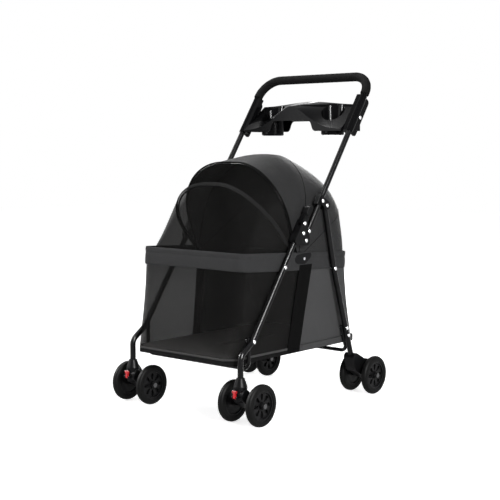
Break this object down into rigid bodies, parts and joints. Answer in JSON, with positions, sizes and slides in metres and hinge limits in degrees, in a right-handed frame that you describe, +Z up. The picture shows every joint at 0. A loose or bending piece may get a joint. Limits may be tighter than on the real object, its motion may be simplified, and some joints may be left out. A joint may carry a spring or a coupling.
{
  "type": "pet stroller",
  "caption": "Folding four-legged pet stroller with twin swivel casters, mesh cabin under a fabric canopy, and a cup tray below a foam-gripped handle.",
  "frame": {"origin": "on the ground under the middle of the stroller's box", "axes": "+Z up, +Y to the rear where the handle is, +X to the stroller's left when seen from behind turned round: the side at the right in a view from the front"},
  "size_m": [0.5406, 0.6472, 0.9604],
  "materials": {
    "frame_tube": "gloss black paint on bent steel tube",
    "bracket": "black moulded nylon",
    "rivet": "bright zinc",
    "foam": "black foam sleeve",
    "tray": "gloss black moulding",
    "red": "red moulding",
    "mesh": "black see-through mesh",
    "cloth": "dark grey woven polyester",
    "webbing": "black webbing",
    "strip": "black sheet plastic",
    "mat": "grey padded cloth",
    "tyre": "smooth black tyre",
    "hub": "black moulded hub"
  },
  "bodies": {
    "front_frame": {"front_leg_left": "frame_tube", "front_leg_right": "frame_tube", "front_cross_tube": "frame_tube", "fold_bracket_left": "bracket", "fold_bracket_right": "bracket", "stem_collars": "bracket", "frame_rivets": "rivet", "rim_band": "cloth", "rim_strip": "strip", "mesh_wall": "mesh", "cloth_wall": "cloth", "side_webbing": "webbing", "canopy": "cloth", "rear_hoop": "frame_tube", "canopy_pivots": "bracket"},
    "handle": {"handle_tube": "frame_tube", "grip": "foam", "upper_brackets": "bracket", "catch_blocks": "bracket", "cup_tray": "tray", "tray_clips": "tray", "handle_rivets": "rivet"},
    "rear_frame": {"rear_leg_left": "frame_tube", "rear_leg_right": "frame_tube", "rear_cross_tube": "frame_tube", "rear_housings": "bracket", "rear_axles": "rivet", "rear_rivets": "rivet"},
    "rails": {"side_rails": "frame_tube"},
    "floor": {"floor_board": "strip", "floor_mat": "mat"},
    "hood": {"hood_mesh": "mesh", "front_hoop": "frame_tube"},
    "caster_left": {"caster_fork_left": "bracket", "caster_axle_left": "rivet"},
    "swivel_lock_left": {"swivel_lock_left": "red"},
    "brake_left": {"brake_pedal_left": "bracket"},
    "latch_left": {"latch_left": "bracket"},
    "caster_right": {"caster_fork_right": "bracket", "caster_axle_right": "rivet"},
    "swivel_lock_right": {"swivel_lock_right": "red"},
    "brake_right": {"brake_pedal_right": "bracket"},
    "latch_right": {"latch_right": "bracket"},
    "wheel_front_left_inner": {"tyre_front_left_inner": "tyre", "hub_front_left_inner": "hub"},
    "wheel_front_left_outer": {"tyre_front_left_outer": "tyre", "hub_front_left_outer": "hub"},
    "wheel_front_right_inner": {"tyre_front_right_inner": "tyre", "hub_front_right_inner": "hub"},
    "wheel_front_right_outer": {"tyre_front_right_outer": "tyre", "hub_front_right_outer": "hub"},
    "wheel_rear_left_inner": {"tyre_rear_left_inner": "tyre", "hub_rear_left_inner": "hub"},
    "wheel_rear_left_outer": {"tyre_rear_left_outer": "tyre", "hub_rear_left_outer": "hub"},
    "wheel_rear_right_inner": {"tyre_rear_right_inner": "tyre", "hub_rear_right_inner": "hub"},
    "wheel_rear_right_outer": {"tyre_rear_right_outer": "tyre", "hub_rear_right_outer": "hub"}
  },
  "joints": [
    {"name": "frame_fold", "type": "hinge", "parent": "front_frame", "child": "handle", "pos_m": [0, -0.0254, 0.4768], "axis": [-1, 0, 0], "range_deg": [0, 160], "deforming": ["canopy", "rear_hoop", "rim_band", "rim_strip", "mesh_wall", "cloth_wall", "side_webbing"]},
    {"name": "rear_leg_fold", "type": "hinge", "parent": "handle", "child": "rear_frame", "pos_m": [0, 0.0702, 0.5712], "axis": [1, 0, 0], "range_deg": [0, 121.6]},
    {"name": "rail_fold", "type": "hinge", "parent": "front_frame", "child": "rails", "pos_m": [0, -0.11318, 0.408], "axis": [-1, 0, 0], "range_deg": [0, 97.8]},
    {"name": "floor_lift", "type": "hinge", "parent": "front_frame", "child": "floor", "pos_m": [0, -0.24405, 0.1435], "axis": [1, 0, 0], "range_deg": [0, 40.5]},
    {"name": "hood_open", "type": "hinge", "parent": "front_frame", "child": "hood", "pos_m": [0, -0.038, 0.424], "axis": [1, 0, 0], "range_deg": [-60, 0], "deforming": ["hood_mesh"]},
    {"name": "caster_swivel_left", "type": "hinge", "parent": "front_frame", "child": "caster_left", "pos_m": [-0.206, -0.2926, 0.1], "axis": [0, 0, 1], "continuous": true},
    {"name": "swivel_lock_flip_left", "type": "hinge", "parent": "caster_left", "child": "swivel_lock_left", "pos_m": [-0.206, -0.3156, 0.08], "axis": [1, 0, 0], "range_deg": [0, 40]},
    {"name": "brake_press_left", "type": "hinge", "parent": "rear_frame", "child": "brake_left", "pos_m": [-0.206, 0.2786, 0.084], "axis": [1, 0, 0], "range_deg": [-20, 0]},
    {"name": "latch_release_left", "type": "hinge", "parent": "front_frame", "child": "latch_left", "pos_m": [-0.206, -0.03204, 0.52518], "axis": [1, 0, 0], "range_deg": [0, 25], "stiffness_Nm_per_rad": 0.3},
    {"name": "caster_swivel_right", "type": "hinge", "parent": "front_frame", "child": "caster_right", "pos_m": [0.206, -0.2926, 0.1], "axis": [0, 0, 1], "continuous": true},
    {"name": "swivel_lock_flip_right", "type": "hinge", "parent": "caster_right", "child": "swivel_lock_right", "pos_m": [0.206, -0.3156, 0.08], "axis": [1, 0, 0], "range_deg": [0, 40]},
    {"name": "brake_press_right", "type": "hinge", "parent": "rear_frame", "child": "brake_right", "pos_m": [0.206, 0.2786, 0.084], "axis": [1, 0, 0], "range_deg": [-20, 0]},
    {"name": "latch_release_right", "type": "hinge", "parent": "front_frame", "child": "latch_right", "pos_m": [0.206, -0.03204, 0.52518], "axis": [1, 0, 0], "range_deg": [0, 25], "stiffness_Nm_per_rad": 0.3},
    {"name": "wheel_spin_front_left_inner", "type": "hinge", "parent": "caster_left", "child": "wheel_front_left_inner", "pos_m": [-0.157, -0.2666, 0.057], "axis": [1, 0, 0], "continuous": true},
    {"name": "wheel_spin_front_left_outer", "type": "hinge", "parent": "caster_left", "child": "wheel_front_left_outer", "pos_m": [-0.255, -0.2666, 0.057], "axis": [1, 0, 0], "continuous": true},
    {"name": "wheel_spin_front_right_inner", "type": "hinge", "parent": "caster_right", "child": "wheel_front_right_inner", "pos_m": [0.157, -0.2666, 0.057], "axis": [1, 0, 0], "continuous": true},
    {"name": "wheel_spin_front_right_outer", "type": "hinge", "parent": "caster_right", "child": "wheel_front_right_outer", "pos_m": [0.255, -0.2666, 0.057], "axis": [1, 0, 0], "continuous": true},
    {"name": "wheel_spin_rear_left_inner", "type": "hinge", "parent": "rear_frame", "child": "wheel_rear_left_inner", "pos_m": [-0.166, 0.2666, 0.057], "axis": [1, 0, 0], "continuous": true},
    {"name": "wheel_spin_rear_left_outer", "type": "hinge", "parent": "rear_frame", "child": "wheel_rear_left_outer", "pos_m": [-0.246, 0.2666, 0.057], "axis": [1, 0, 0], "continuous": true},
    {"name": "wheel_spin_rear_right_inner", "type": "hinge", "parent": "rear_frame", "child": "wheel_rear_right_inner", "pos_m": [0.166, 0.2666, 0.057], "axis": [1, 0, 0], "continuous": true},
    {"name": "wheel_spin_rear_right_outer", "type": "hinge", "parent": "rear_frame", "child": "wheel_rear_right_outer", "pos_m": [0.246, 0.2666, 0.057], "axis": [1, 0, 0], "continuous": true}
  ],
  "couplings": [
    {"joint": "rear_leg_fold", "follows": "frame_fold", "ratio": 0.75661},
    {"joint": "rail_fold", "follows": "frame_fold", "ratio": 0.60808},
    {"joint": "floor_lift", "follows": "frame_fold", "ratio": 0.25}
  ]
}
